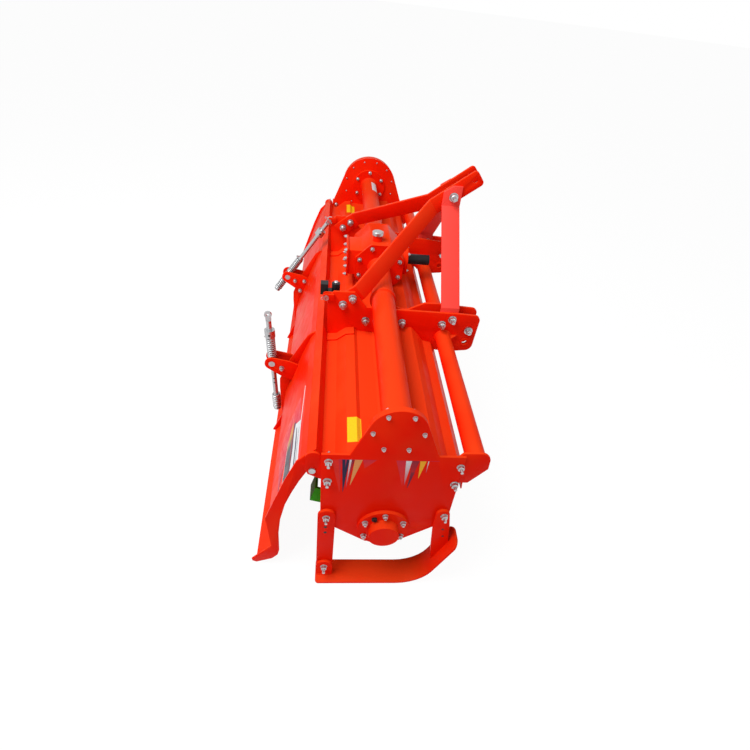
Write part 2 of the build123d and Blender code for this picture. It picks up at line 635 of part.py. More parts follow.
def clevis_plate(x_low):
    seat = [(sheet_y(z) - WELD_GAP, z) for z in CLEVIS_SEAT_Z]
    body = plate(CLEVIS_TOP + seat + CLEVIS_FOOT, x_low, CLEVIS_T)
    body += disc(TRUNNION_Y, TRUNNION_Z, CLEVIS_END_R, x_low, CLEVIS_T)
    return body - disc(TRUNNION_Y, TRUNNION_Z, TRUNNION_PIN_R + RUNNING_FIT, x_low, CLEVIS_T)


def strut_clevis():
    inner = RIB_X - CLEVIS_GAP / 2 - CLEVIS_T
    outer = RIB_X + CLEVIS_GAP / 2
    return Compound(children=[clevis_plate(inner), clevis_plate(outer)])


# ================================================================ spring struts
def strut_frame(eye_y, eye_z, foot_y, foot_z):
    """Frame with its origin at a strut's eye and +Z down the rod; sketch X stays +X."""
    length = hypot(foot_y - eye_y, foot_z - eye_z)
    down = (0, (foot_y - eye_y) / length, (foot_z - eye_z) / length)
    return Plane(origin=(RIB_X, eye_y, eye_z), x_dir=(1, 0, 0), z_dir=down)


def tube(radius, bore, start, length):
    body = Pos(0, 0, start) * Cylinder(radius, length, align=(Align.CENTER, Align.CENTER, Align.MIN))
    if bore > 0:
        body -= Pos(0, 0, start) * Cylinder(bore, length, align=(Align.CENTER, Align.CENTER, Align.MIN))
    return body


def strut_rod(stop_at):
    """Eye, tongue, rod, collar and lower nut; stop_at is the spring's upper stop."""
    half = BRACKET_T / 2 - EYE_SIDE_GAP
    eye = Pos(-half, 0, 0) * Rot(0, 90, 0) * Cylinder(
        EYE_R, 2 * half, align=(Align.CENTER, Align.CENTER, Align.MIN))
    body = eye + Pos(0, 0, TONGUE_L / 2) * Box(2 * half, 2 * ROD_R, TONGUE_L)
    body += tube(ROD_R, 0, TONGUE_L - ROOT, STRUT_L - TONGUE_L + ROOT)
    body += tube(COLLAR_R, 0, COLLAR_FROM_EYE, COLLAR_H)
    body += tube(LOW_NUT_R, 0, STRUT_L - LOW_NUT_H, LOW_NUT_H)
    if stop_at > COLLAR_FROM_EYE + COLLAR_H:
        body += tube(STOP_R, 0, stop_at - STOP_H, STOP_H)
    bore = Pos(-half, 0, 0) * Rot(0, 90, 0) * Cylinder(
        HOOD_PIN_R + RUNNING_FIT, 2 * half, align=(Align.CENTER, Align.CENTER, Align.MIN))
    return body - bore


def upper_spring(trunnion_at):
    end = trunnion_at - TRUNNION_R
    return tube(SPRING_R, SPRING_R - SPRING_WALL, end - SPRING_L, SPRING_L)


def hooked_reach():
    """Trunnion to the eye of a hooked strut."""
    return hypot(TRUNNION_Y - HOOD_PIN_Y, TRUNNION_Z - HOOD_PIN_Z)


def lower_spring():
    length = STRUT_L - LOW_NUT_H - hooked_reach() - TRUNNION_R - LOW_SPRING_PLAY
    return tube(SPRING_R, ROD_R + SEAT_GAP, STRUT_L - LOW_NUT_H - length, length)


def trunnion(trunnion_at):
    """Cross block on two pins, bored for the rod."""
    half = CLEVIS_GAP / 2 - TRUNNION_END_GAP
    reach = CLEVIS_GAP / 2 + CLEVIS_T + TRUNNION_PIN_OUT
    block = Pos(-half, 0, trunnion_at) * Rot(0, 90, 0) * Cylinder(
        TRUNNION_R, 2 * half, align=(Align.CENTER, Align.CENTER, Align.MIN))
    pins = Pos(-reach, 0, trunnion_at) * Rot(0, 90, 0) * Cylinder(
        TRUNNION_PIN_R, 2 * reach, align=(Align.CENTER, Align.CENTER, Align.MIN))
    bore = tube(ROD_R + ROD_SLIDE_GAP, 0, trunnion_at - TRUNNION_R - ROOT, 2 * (TRUNNION_R + ROOT))
    return block + pins - bore


def save_strut(side, place, trunnion_at):
    stop = trunnion_at - TRUNNION_R - SPRING_L
    save(f"strut_rod_{side}", on_side(side, place * strut_rod(stop)))
    save(f"strut_spring_{side}", on_side(side, place * upper_spring(trunnion_at)))
    save(f"strut_low_spring_{side}", on_side(side, place * lower_spring()))
    save(f"trunnion_{side}", on_side(side, place * trunnion(trunnion_at)))


def save_struts():
    hooked = strut_frame(HOOD_PIN_Y, HOOD_PIN_Z, TRUNNION_Y, TRUNNION_Z)
    save_strut("left", hooked, hooked_reach())
    lean = radians(LOOSE_LEAN)
    reach = COLLAR_FROM_EYE + COLLAR_H + LOOSE_PLAY + SPRING_L + TRUNNION_R
    eye_y, eye_z = TRUNNION_Y - reach * sin(lean), TRUNNION_Z + reach * cos(lean)
    loose = strut_frame(eye_y, eye_z, TRUNNION_Y, TRUNNION_Z)
    save_strut("right", loose, reach)


def build():
    os.makedirs("parts", exist_ok=True)
    save("hood_shell", hood_shell())
    save("front_pipe", front_pipe())
    for side in SIDES:
        save(f"hood_cheek_{side}", on_side(side, hood_cheek()))
        save(f"bracket_{side}", on_side(side, bracket()) + bracket_foot(side))
        save(f"hitch_inner_plate_{side}", on_side(side, hitch_inner_plate()))
        save(f"hitch_pin_{side}", on_side(side, hitch_pin()))
        save(f"mast_bar_{side}", on_side(side, mast_bar()))
        save(f"mast_strap_{side}", on_side(side, mast_strap()))
        save(f"skid_{side}", on_side(side, skid()))
        save(f"skid_rear_leg_{side}", on_side(side, rear_leg()))
        save(f"skid_front_leg_{side}", on_side(side, front_leg()))
        save(f"board_web_{side}", on_side(side, board_web()))
        save(f"board_rib_{side}", on_side(side, board_rib()))
        save(f"strut_clevis_{side}", on_side(side, strut_clevis()))
        save(f"strut_pin_{side}", on_side(side, strut_pin()))
    save_struts()
    save("hose_holder", hose_holder())
    save("end_plate_right", end_plate(HUMP_R_RIGHT, HUMP_FOOT_RIGHT))
    save("end_plate_left", mirrored(end_plate(HUMP_R_LEFT, HUMP_FOOT_LEFT)))
    half = HALF_WIDTH - PLATE_T
    save("cross_tube_right", cross_tube(BOX_X_HIGH, half, TUBE_FLANGE_RIGHT_R))
    save("cross_tube_left", mirrored(cross_tube(-BOX_X_LOW, half, TUBE_FLANGE_LEFT_R)))
    save("bearing_hub", bearing_hub())
    save("gear_case", gear_case())
    save("gear_case_cover", gear_case_cover())
    save("gearbox_housing", gearbox_housing())
    save("gearbox_rear_cover", gearbox_rear_cover())
    save("gearbox_filler_cap", filler_cap())
    save("pto_guard", pto_guard())
    save("pto_shaft", pto_shaft())
    save("rotor_tube", rotor_tube())
    save("rotor_gangs", rotor_gangs())
    save("board_sheet", board_sheet())


build()
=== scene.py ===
# %% [markdown]
# A tractor-mounted rotavator. The rigid frame of the machine comes from the
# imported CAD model; this script adds the camera, the light, the finishes and the small parts that a
# catalogue shows: bolts, coil springs, clips, decals, weld beads and rounded plate edges.

# %% Load the frame
import json
from math import cos, pi, radians, sin
import bmesh
import bpy
from mathutils import Matrix, Vector


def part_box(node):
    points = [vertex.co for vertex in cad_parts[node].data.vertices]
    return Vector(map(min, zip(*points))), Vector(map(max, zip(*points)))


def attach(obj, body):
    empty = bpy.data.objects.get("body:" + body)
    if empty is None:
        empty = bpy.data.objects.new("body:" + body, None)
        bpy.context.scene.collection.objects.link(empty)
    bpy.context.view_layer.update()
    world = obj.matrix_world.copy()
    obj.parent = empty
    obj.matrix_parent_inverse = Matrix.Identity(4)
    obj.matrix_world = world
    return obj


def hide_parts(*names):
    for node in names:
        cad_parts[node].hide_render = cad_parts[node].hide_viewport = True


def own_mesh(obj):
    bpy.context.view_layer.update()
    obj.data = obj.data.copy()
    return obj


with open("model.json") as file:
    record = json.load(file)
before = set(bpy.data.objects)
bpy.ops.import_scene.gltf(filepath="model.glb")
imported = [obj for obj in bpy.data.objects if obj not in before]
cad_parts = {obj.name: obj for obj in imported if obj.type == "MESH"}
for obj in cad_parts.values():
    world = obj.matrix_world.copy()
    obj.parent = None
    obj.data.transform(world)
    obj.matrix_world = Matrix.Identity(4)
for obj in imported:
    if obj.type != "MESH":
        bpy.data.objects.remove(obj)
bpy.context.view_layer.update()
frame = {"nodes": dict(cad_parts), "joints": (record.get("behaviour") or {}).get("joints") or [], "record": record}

nodes = frame["nodes"]
MM = 0.001

# %% [markdown]
# The machine is drawn about its rotor axis, because every plate is bolted round it. The rotor
# tube's own box gives that axis, so nothing has to be fitted by eye: `at` turns millimetres from
# the axis into a place in the scene. The faces of the plates are named here once, as distances
# from the middle of the machine, because bolts, welds and collars all stand on them.

# %% A point measured from the rotor axis
low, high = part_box("rotor_tube")
AXIS = Vector((0, (low.y + high.y) / 2, (low.z + high.z) / 2))
TUBE_UP, TUBE_R = 431, 44.4
PLATE_OUT, PLATE_IN, CHEEK_IN, FLANGE_IN = 1000, 992, 984, 980
LEG_OUT, HUB_OUT, SKID_OUT = 1010, 1012, 1020
BRACKET_OUT, BRACKET_IN, BAR_IN = 361, 351, 339
INNER_OUT, INNER_IN = 305, 295
STRAP_OUT, HITCH_PIN_END = 47, 375
BOX_RIGHT, BOX_LEFT = 45, -187
CLEVIS_OUT, CLEVIS_IN = 384, 328
PIPE_AT, PIPE_R = (244, 314), 30.1
LOW_HOLE, HITCH_PIN, HOOD_PIN = (334, 296), (337, 354), (-214, 467)


def at(x, y, z):
    return AXIS + Vector((x, y, z)) * MM


print("rotor axis:", tuple(round(c, 4) for c in AXIS))

# %% [markdown]
# The camera stands near the bearing end, above the machine and a little behind the middle, with a
# wide lens: the long frame runs away from it steeply. Its three axes are written out, since a
# rotation given as angles would hide where it looks.

# %% Camera
camera = bpy.data.objects.new("camera", bpy.data.cameras.new("camera"))
bpy.context.scene.collection.objects.link(camera)
camera.data.lens = 23.253
camera.data.sensor_width = 36
right = Vector((0.050957, 0.994367, 0.092944))
up = Vector((-0.635858, -0.039462, 0.770796))
turn = Matrix((right, up, right.cross(up))).transposed()
camera.matrix_world = Matrix.Translation((1.9017, -0.1422, 1.6485)) @ turn.to_4x4()
bpy.context.scene.camera = camera
bpy.context.scene.view_settings.view_transform = "Standard"
print("camera looks along", tuple(round(c, 3) for c in -right.cross(up)))

# %% [markdown]
# Every material and every Geometry Nodes tree below is built from nodes. One small helper adds a
# node, sets its fields and either links a socket or writes a number into it.

# %% Node helper


def node(tree, kind, fields=None, **sockets):
    """Add a node; a socket is named by its label, or by its number as i0, i1 and so on."""
    made = tree.nodes.new(kind)
    for key, value in (fields or {}).items():
        setattr(made, key, value)
    for key, value in sockets.items():
        number = key[1:] if key[0] == "i" and key[1:].isdigit() else None
        socket = made.inputs[int(number)] if number else made.inputs[key.replace("_", " ")]
        if isinstance(value, bpy.types.NodeSocket):
            tree.links.new(value, socket)
        else:
            socket.default_value = value
    return made


def blank_material(name):
    material = bpy.data.materials.new(name)
    material.use_nodes = True
    material.node_tree.nodes.clear()
    return material, material.node_tree


# %% [markdown]
# A plain pale studio: the floor and the world are white where the camera sees them, also in
# reflections, but they give the machine only a moderate light. A part of the floor is ordinary
# matte paint, so the shadow under the skids stays.

# %% Floor and world


def seen_directly(tree):
    """1 for camera, glossy and transmission rays, 0 for the light that falls on things."""
    path = node(tree, "ShaderNodeLightPath")
    first = node(tree, "ShaderNodeMath", {"operation": "MAXIMUM"},
                 i0=path.outputs["Is Camera Ray"], i1=path.outputs["Is Glossy Ray"])
    return node(tree, "ShaderNodeMath", {"operation": "MAXIMUM"},
                i0=first.outputs[0], i1=path.outputs["Is Transmission Ray"]).outputs[0]


floor_paint, tree = blank_material("studio_floor")
matte = node(tree, "ShaderNodeBsdfDiffuse", Color=(0.8, 0.8, 0.8, 1))
glow = node(tree, "ShaderNodeEmission", Color=(1, 1, 1, 1), Strength=1.05)
share = node(tree, "ShaderNodeMath", {"operation": "MULTIPLY"}, i0=seen_directly(tree), i1=0.9)
mixed = node(tree, "ShaderNodeMixShader", Fac=share.outputs[0], i1=matte.outputs[0],
             i2=glow.outputs[0])
node(tree, "ShaderNodeOutputMaterial", Surface=mixed.outputs[0])
bpy.ops.mesh.primitive_circle_add(vertices=64, radius=60, fill_type="NGON", location=(0, 0, 0))
floor = bpy.context.object
floor.name = "studio_floor"
floor.data.materials.append(floor_paint)

world = bpy.data.worlds.new("studio")
bpy.context.scene.world = world
world.use_nodes = True
tree = world.node_tree
tree.nodes.clear()
brightness = node(tree, "ShaderNodeMapRange", Value=seen_directly(tree), To_Min=0.36, To_Max=1.0)
sky = node(tree, "ShaderNodeBackground", Color=(1, 1, 1, 1), Strength=brightness.outputs[0])
node(tree, "ShaderNodeOutputWorld", Surface=sky.outputs[0])
print("floor and world are in place")

# %% [markdown]
# Two large soft lamps. The key hangs over the rear of the machine, so the hood's rear slopes are
# brighter than its front ones; the fill, in front, keeps the far side readable.

# %% Lamps


def soft_lamp(name, place, target, size, power):
    lamp = bpy.data.objects.new(name, bpy.data.lights.new(name, "AREA"))
    lamp.data.shape = "SQUARE"
    lamp.data.size = size
    lamp.data.energy = power
    lamp.location = place
    lamp.rotation_euler = (Vector(target) - Vector(place)).to_track_quat("-Z", "Y").to_euler()
    bpy.context.scene.collection.objects.link(lamp)


soft_lamp("key", (1.1, -1.6, 3.6), (0.1, 0, 0.3), 2.2, 140)
soft_lamp("fill", (2.6, 2.6, 2.4), (0.3, 0, 0.4), 2.0, 14)

# %% [markdown]
# The finish of the machine is a thick gloss enamel. Sprayed enamel is never quite even: it has a fine
# orange-peel ripple, its colour drifts a little over a large panel, and dust dulls it in patches.
# Three noise textures on Object coordinates give those three things. Where a face looks up, the
# colour is also painted lighter and more orange: painted light from above.

# %% Painted finishes


def object_noise(tree, scale, detail=3.0):
    place = node(tree, "ShaderNodeTexCoord").outputs["Object"]
    return node(tree, "ShaderNodeTexNoise", Vector=place, Scale=scale, Detail=detail).outputs["Fac"]


def ranged(tree, value, low_in, high_in, low_out, high_out):
    return node(tree, "ShaderNodeMapRange", Value=value, From_Min=low_in, From_Max=high_in,
                To_Min=low_out, To_Max=high_out).outputs[0]


def blended(tree, factor, first, second):
    mix = node(tree, "ShaderNodeMix", {"data_type": "RGBA"}, i0=factor)
    mix.inputs[6].default_value = (*first, 1)
    mix.inputs[7].default_value = (*second, 1)
    return mix.outputs[2]


def enamel(name, colour, painted_top_light, low_rough, high_rough, gloss):
    """Gloss paint, painted lighter and more orange where it faces up (painted light from above), with a small
    random drift.
    """
    material, tree = blank_material(name)
    normal = node(tree, "ShaderNodeNewGeometry").outputs["Normal"]
    facing = node(tree, "ShaderNodeSeparateXYZ", Vector=normal)
    uneven = ranged(tree, object_noise(tree, 5.0, 4.0), 0.35, 0.7, -0.25, 0.25)
    painted_light_facing = node(tree, "ShaderNodeMath", {"operation": "ADD"}, i0=facing.outputs["Z"], i1=uneven)
    drift = ranged(tree, painted_light_facing.outputs[0], 0.0, 0.9, 0.0, 1.0)
    patches = ranged(tree, object_noise(tree, 22.0, 6.0), 0.35, 0.75, low_rough, high_rough)
    ripple = node(tree, "ShaderNodeBump", Strength=0.05, Distance=0.001,
                  Height=object_noise(tree, 260.0, 2.0))
    paint = node(tree, "ShaderNodeBsdfPrincipled", Base_Color=blended(tree, drift, colour, painted_top_light),
                 Roughness=patches, Normal=ripple.outputs[0], Specular_IOR_Level=gloss)
    node(tree, "ShaderNodeOutputMaterial", Surface=paint.outputs[0])
    return material


# The second colour of each enamel is painted light: the lighter, more orange tone of faces that look up toward the
# lamps.
RED = enamel("red_enamel", (0.84, 0.010, 0.0008), (0.79, 0.044, 0.007), 0.28, 0.42, 0.02)
# A lighter copy of the red enamel: painted light for the mast straps, whose faces tilt up toward the lamps.
PAINTED_LIGHT_RED = enamel("pale_red_enamel", (0.92, 0.06, 0.045), (0.92, 0.07, 0.055), 0.28, 0.42, 0.02)
GREEN = enamel("green_enamel", (0.045, 0.42, 0.006), (0.060, 0.46, 0.012), 0.35, 0.5, 0.05)


def plated(name, bright, dull, low_rough, high_rough):
    """Zinc-plated or ground steel: a fine crystalline drift in colour and in polish."""
    material, tree = blank_material(name)
    grain = object_noise(tree, 420.0, 4.0)
    paint = node(tree, "ShaderNodeBsdfPrincipled", Metallic=1.0,
                 Base_Color=blended(tree, ranged(tree, grain, 0.35, 0.7, 0.0, 1.0), bright, dull),
                 Roughness=ranged(tree, object_noise(tree, 90.0), 0.3, 0.7, low_rough, high_rough))
    bump = node(tree, "ShaderNodeBump", Strength=0.12, Distance=0.0004, Height=grain)
    tree.links.new(bump.outputs[0], paint.inputs["Normal"])
    node(tree, "ShaderNodeOutputMaterial", Surface=paint.outputs[0])
    return material


ZINC = plated("zinc_plate", (0.56, 0.56, 0.57), (0.36, 0.37, 0.38), 0.25, 0.45)
STEEL = plated("ground_steel", (0.50, 0.49, 0.48), (0.33, 0.32, 0.31), 0.25, 0.45)


def moulded(name, colour, worn, low_rough, high_rough):
    """Moulded black plastic with a faint pebbled grain."""
    material, tree = blank_material(name)
    grain = object_noise(tree, 700.0, 2.0)
    bump = node(tree, "ShaderNodeBump", Strength=0.2, Distance=0.0003, Height=grain)
    shade = blended(tree, ranged(tree, object_noise(tree, 30.0), 0.4, 0.7, 0, 1), colour, worn)
    paint = node(tree, "ShaderNodeBsdfPrincipled", Base_Color=shade, Normal=bump.outputs[0],
                 Specular_IOR_Level=0.25,
                 Roughness=ranged(tree, grain, 0.3, 0.7, low_rough, high_rough))
    node(tree, "ShaderNodeOutputMaterial", Surface=paint.outputs[0])
    return material


BLACK = moulded("black_plastic", (0.006, 0.006, 0.007), (0.014, 0.014, 0.015), 0.35, 0.5)
FINISH = {"red_paint": RED, "green_paint": GREEN, "zinc": ZINC, "steel": STEEL,
          "black_plastic": BLACK}
for part in frame["record"]["subparts"]:
    item = nodes[part["node"]]
    if not item.material_slots:
        item.data.materials.append(None)
    for place in item.material_slots:
        place.material = FINISH[part["material_slot"]]

# %% [markdown]
# Bolts hold every joint of the machine, so they are made once and put where the holes are. Each
# place is a vertex that carries three values: the way the bolt faces, its thread size and how far
# the thread shows past the nut. A Geometry Nodes tree sets a washer, a chamfered hexagon and a
# thread end on each vertex. Instances keep the tree light; they are made real at the end.

# %% The bolt tree


def new_tree(name, sizes):
    """A Geometry Nodes tree with named number inputs."""
    tree = bpy.data.node_groups.new(name, "GeometryNodeTree")
    tree.interface.new_socket("Geometry", in_out="INPUT", socket_type="NodeSocketGeometry")
    tree.interface.new_socket("Geometry", in_out="OUTPUT", socket_type="NodeSocketGeometry")
    for label, value in sizes.items():
        socket = tree.interface.new_socket(label, in_out="INPUT", socket_type="NodeSocketFloat")
        socket.default_value = value
    return tree, node(tree, "NodeGroupInput")


def close_tree(tree, shape, material):
    real = node(tree, "GeometryNodeRealizeInstances", Geometry=shape)
    coloured = node(tree, "GeometryNodeSetMaterial", Geometry=real.outputs[0], Material=material)
    node(tree, "NodeGroupOutput", Geometry=coloured.outputs[0])
    return tree


def lifted(tree, mesh, height):
    shift = node(tree, "ShaderNodeCombineXYZ", Z=height)
    moved = node(tree, "GeometryNodeTransform", Geometry=mesh, Translation=shift.outputs[0])
    return moved.outputs[0]


def attribute(tree, name, kind="FLOAT"):
    return node(tree, "GeometryNodeInputNamedAttribute", {"data_type": kind}, Name=name).outputs[0]


def bolt_tree():
    tree, sizes = new_tree("bolts", {"Across flats": 1.5, "Nut height": 0.75, "Washer width": 1.95,
                                     "Washer height": 0.14, "Thread width": 0.9})
    get = sizes.outputs

    def times(value, factor):
        product = node(tree, "ShaderNodeMath", {"operation": "MULTIPLY"}, i0=value, i1=factor)
        return product.outputs[0]

    def drum(sides, radius, height, top=None):
        kind = "GeometryNodeMeshCone" if top else "GeometryNodeMeshCylinder"
        made = node(tree, kind, Vertices=sides, Depth=height)
        for label, value in (("Radius", radius), ("Radius Bottom", radius), ("Radius Top", top)):
            if label in made.inputs and value is not None:
                tree.links.new(value, made.inputs[label])
        return made.outputs["Mesh"]

    washer = lifted(tree, drum(24, times(get["Washer width"], 0.5), get["Washer height"]),
                    times(get["Washer height"], 0.5))
    flat = drum(6, times(get["Across flats"], 0.577), get["Nut height"])
    middle = node(tree, "ShaderNodeMath", {"operation": "MULTIPLY_ADD"},
                  i0=get["Nut height"], i1=0.5, i2=get["Washer height"]).outputs[0]
    crown = drum(24, times(get["Across flats"], 0.5), times(get["Nut height"], 0.16),
                 times(get["Across flats"], 0.4))
    top = node(tree, "ShaderNodeMath", {"operation": "ADD"},
               i0=get["Nut height"], i1=get["Washer height"]).outputs[0]
    nut = node(tree, "GeometryNodeJoinGeometry").inputs[0]
    for shape in (washer, lifted(tree, flat, middle), lifted(tree, crown, top)):
        tree.links.new(shape, nut)
    thread = drum(16, times(get["Thread width"], 0.5), 1.0, times(get["Thread width"], 0.42))
    facing = node(tree, "FunctionNodeAlignRotationToVector", {"axis": "Z"},
                  Vector=attribute(tree, "facing", "FLOAT_VECTOR")).outputs[0]
    size, reach = attribute(tree, "size"), attribute(tree, "reach")
    stretch = node(tree, "ShaderNodeCombineXYZ", X=size, Y=size, Z=reach)
    joined = node(tree, "GeometryNodeJoinGeometry").inputs[0]
    for shape, scale in ((nut.node.outputs[0], size),
                         (lifted(tree, thread, 0.5), stretch.outputs[0])):
        placed = node(tree, "GeometryNodeInstanceOnPoints", Points=get["Geometry"], Instance=shape,
                      Rotation=facing, Scale=scale)
        tree.links.new(placed.outputs[0], joined)
    return close_tree(tree, joined.node.outputs[0], ZINC)


BOLTS = bolt_tree()
print("bolt tree:", len(BOLTS.nodes), "nodes")

# %% [markdown]
# A tree is run on an object by a modifier. The result is turned into a plain mesh before the piece
# rides on its body, and the modifier's own object is thrown away.

# %% Run a tree and keep its mesh


def finished(source):
    """The mesh of an object with its modifiers run; the object itself is thrown away."""
    bpy.context.scene.collection.objects.link(source)
    bpy.context.view_layer.update()
    ready = source.evaluated_get(bpy.context.evaluated_depsgraph_get())
    mesh = bpy.data.meshes.new_from_object(ready)
    bpy.data.objects.remove(source)
    return mesh


def grown(name, tree, seed_mesh, **sizes):
    """The mesh that a tree makes from a seed mesh, as a new object."""
    seed = bpy.data.objects.new(name + "_seed", seed_mesh)
    modifier = seed.modifiers.new("tree", "NODES")
    modifier.node_group = tree
    for socket in tree.interface.items_tree:
        label = socket.name.replace(" ", "_").lower()
        if socket.in_out == "INPUT" and label in sizes:
            modifier[socket.identifier] = sizes[label]
    piece = bpy.data.objects.new(name, finished(seed))
    bpy.context.scene.collection.objects.link(piece)
    return piece


def bolted(name, body, bolts):
    """Bolts at (x, y, z, facing, thread size in mm, thread shown past the nut in mm)."""
    mesh = bpy.data.meshes.new(name + "_points")
    mesh.from_pydata([at(*b[:3]) for b in bolts], [], [])
    for label, kind, values in (("facing", "FLOAT_VECTOR", [c for b in bolts for c in b[3]]),
                                ("size", "FLOAT", [b[4] * MM for b in bolts]),
                                ("reach", "FLOAT", [(b[4] + b[5]) * MM for b in bolts])):
        values_of = mesh.attributes.new(label, kind, "POINT")
        values_of.data.foreach_set("vector" if kind == "FLOAT_VECTOR" else "value", values)
    piece = grown(name, BOLTS, mesh)
    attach(piece, body)
    print(name, "has", len(bolts), "bolts")
    return piece


# %% [markdown]
# Where the bolts are: rings about the cross tube and the rotor axis, and pairs along the plates.
# They all face along +X or -X, the way the plates do, and a bolt on an outer face has its nut on
# the face behind.

# %% Bolts of the frame
OUT, IN = (1, 0, 0), (-1, 0, 0)


def ring(x, y, z, radius, count, start, facing, size, reach=0):
    angles = [radians(start + 360 * i / count) for i in range(count)]
    return [(x, y + radius * cos(a), z + radius * sin(a), facing, size, reach) for a in angles]


frame_bolts = ring(PLATE_OUT, 0, TUBE_UP, 70.7, 6, 0, OUT, 7)
frame_bolts += ring(HUB_OUT, 0, 0, 70.7, 6, 30, OUT, 10)
frame_bolts += ring(FLANGE_IN, 0, TUBE_UP, 70.7, 6, 0, IN, 8)
frame_bolts += ring(-FLANGE_IN, 0, TUBE_UP, 77.6, 6, 30, OUT, 10)
frame_bolts += ring(-PLATE_IN, 0, TUBE_UP, 135, 12, 15, OUT, 4)
frame_bolts += ring(BOX_RIGHT, 0, TUBE_UP, 91, 8, 22.5, OUT, 10)
frame_bolts += ring(BOX_LEFT, 0, TUBE_UP, 91, 8, 22.5, IN, 10)
PLATE_BOLTS = [(-186, 312, 12, 4), (197, 300, 12, 4), (-187, 226, 13, 3), (194, 221, 13, 3)]
LEG_BOLTS, SKID_BOLT = [(-185, 57), (189, 72)], (-185, -217)
BRACKET_BOLTS = [(-152, 439), (-118, 466), (-64, 374), (75, 373), (229, 374), (266, 398)]
STRAP_BOLT = (258, 751)
for side in (1, -1):
    facing, behind = (side, 0, 0), (-side, 0, 0)
    for y, z, size, reach in PLATE_BOLTS:
        frame_bolts.append((side * PLATE_OUT, y, z, facing, size, reach))
        frame_bolts.append((side * CHEEK_IN, y, z, behind, size, 0))
    for y, z in LEG_BOLTS:
        frame_bolts.append((side * LEG_OUT, y, z, facing, 12, 4))
    frame_bolts.append((side * SKID_OUT, *SKID_BOLT, facing, 12, 5))
    for y, z in BRACKET_BOLTS:
        frame_bolts.append((side * BRACKET_OUT, y, z, facing, 16, 4))
        frame_bolts.append((side * BAR_IN, y, z, behind, 16, 0))
    frame_bolts.append((side * STRAP_OUT, *STRAP_BOLT, facing, 18, 4))
    frame_bolts.append((side * HITCH_PIN_END, *HITCH_PIN, facing, 12, 0))
bolted("frame_bolts", "frame", frame_bolts)

# %% [markdown]
# Two coil springs sit on each strut rod: a long one above the trunnion, which presses the trailing
# board down, and a short one below it. A spring follows a rule, so a tree makes it: a spiral of
# constant radius is lifted turn by turn, with a closed turn at each end, and a round wire is swept
# along it. The seed vertex says where the spring starts and which way its rod runs.

# %% The spring tree


def spring_tree():
    tree, sizes = new_tree("coil_spring", {"Turns": 9.0, "Length": 0.09, "Coil radius": 0.015,
                                           "Wire radius": 0.003})
    get = sizes.outputs

    def maths(operation, *values):
        sockets = {f"i{i}": value for i, value in enumerate(values)}
        return node(tree, "ShaderNodeMath", {"operation": operation}, **sockets).outputs[0]

    def ramp(start, end, rise):
        along = node(tree, "GeometryNodeSplineParameter").outputs["Factor"]
        return node(tree, "ShaderNodeMapRange", Value=along, From_Min=start, From_Max=end,
                    To_Min=0.0, To_Max=rise).outputs[0]

    one_turn = maths("DIVIDE", 1.0, get["Turns"])
    last_turn = maths("SUBTRACT", 1.0, one_turn)
    wire = maths("MULTIPLY", get["Wire radius"], 2.0)
    middle = maths("SUBTRACT", get["Length"], maths("MULTIPLY", wire, 3.0))
    height = maths("ADD", ramp(0.0, one_turn, wire), ramp(one_turn, last_turn, middle))
    height = maths("ADD", maths("ADD", height, ramp(last_turn, 1.0, wire)), get["Wire radius"])
    spiral = node(tree, "GeometryNodeCurveSpiral", Resolution=20, Rotations=get["Turns"],
                  Start_Radius=get["Coil radius"], End_Radius=get["Coil radius"], Height=0.0)
    shift = node(tree, "ShaderNodeCombineXYZ", Z=height)
    helix = node(tree, "GeometryNodeSetPosition", Geometry=spiral.outputs[0],
                 Offset=shift.outputs[0])
    section = node(tree, "GeometryNodeCurvePrimitiveCircle", Resolution=10,
                   Radius=get["Wire radius"])
    coil = node(tree, "GeometryNodeCurveToMesh", Curve=helix.outputs[0], Fill_Caps=True)
    tree.links.new(section.outputs[0], coil.inputs["Profile Curve"])
    facing = node(tree, "FunctionNodeAlignRotationToVector", {"axis": "Z"},
                  Vector=attribute(tree, "facing", "FLOAT_VECTOR")).outputs[0]
    placed = node(tree, "GeometryNodeInstanceOnPoints", Points=get["Geometry"],
                  Instance=coil.outputs[0], Rotation=facing)
    return close_tree(tree, placed.outputs[0], ZINC)


SPRINGS = spring_tree()

# %% [markdown]
# A strut's line comes from its joints: the left strut turns on its top pin and its trunnion turns
# on the board, while the right strut is unhooked and leans a little to the rear. Distances along a
# rod are given from its eye, in millimetres.

# %% Where the struts are
joint_at = {joint["name"]: Vector(joint["pos_m"]) for joint in frame["joints"]}
left_eye, left_trunnion = joint_at["strut_left_swing"], joint_at["trunnion_left_turn"]
right_trunnion = joint_at["strut_right_swing"]
TRUNNION_R, SPRING_L, LOW_SPRING_L, ROD_L = 16, 95, 77.5, 464
LOOSE_LEAN, LOOSE_REACH = radians(2.4), 210
right_down = Vector((0, sin(LOOSE_LEAN), -cos(LOOSE_LEAN)))
right_eye = right_trunnion - right_down * LOOSE_REACH * MM
left_down = (left_trunnion - left_eye).normalized()
STRUTS = {"left": (left_eye, left_down, (left_trunnion - left_eye).length / MM),
          "right": (right_eye, right_down, LOOSE_REACH)}
print("left strut, eye to trunnion:", round(STRUTS["left"][2], 1), "mm")

# %% Coil springs


def spring(name, body, start, down, length, turns, wire, stands_for):
    mesh = bpy.data.meshes.new(name + "_point")
    mesh.from_pydata([start], [], [])
    facing = mesh.attributes.new("facing", "FLOAT_VECTOR", "POINT")
    facing.data.foreach_set("vector", list(down))
    piece = grown(name, SPRINGS, mesh, turns=turns, length=length * MM,
                  coil_radius=(18 - wire) * MM, wire_radius=wire * MM)
    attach(piece, body)
    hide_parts(stands_for)
    return piece


